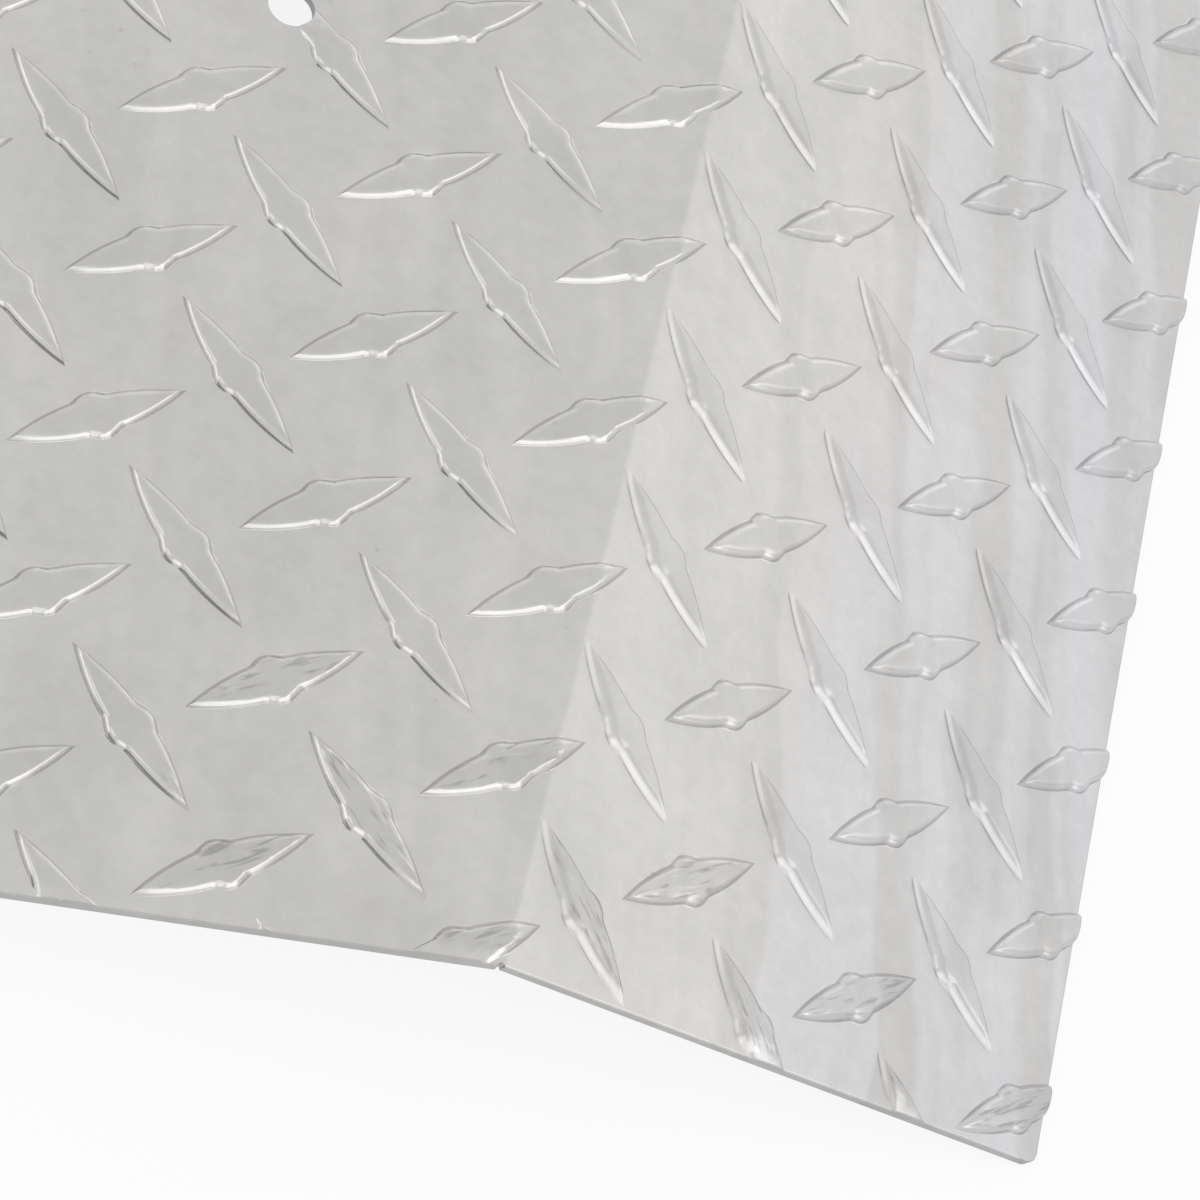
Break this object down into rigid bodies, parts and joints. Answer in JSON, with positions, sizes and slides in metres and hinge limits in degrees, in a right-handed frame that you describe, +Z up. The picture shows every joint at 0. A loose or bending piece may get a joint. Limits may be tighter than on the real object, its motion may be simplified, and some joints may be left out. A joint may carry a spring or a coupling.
{
  "type": "folded aluminum tread plate",
  "caption": "Folded aluminum tread plate with raised diamond bars, slanted ends with rounded corners, and a bolt hole.",
  "frame": {"origin": "middle of the underside of the plate's bounding box, on the floor it stands on", "axes": "+Y along the fold, +Z up out of the patterned face, +X across the fold towards the shorter flange"},
  "size_m": [0.2616, 0.3874, 0.0295],
  "materials": {
    "mill_aluminium": "bright rolled mill finish with light handling marks"
  },
  "bodies": {
    "root": {"tread_plate": "mill_aluminium"}
  },
  "joints": []
}
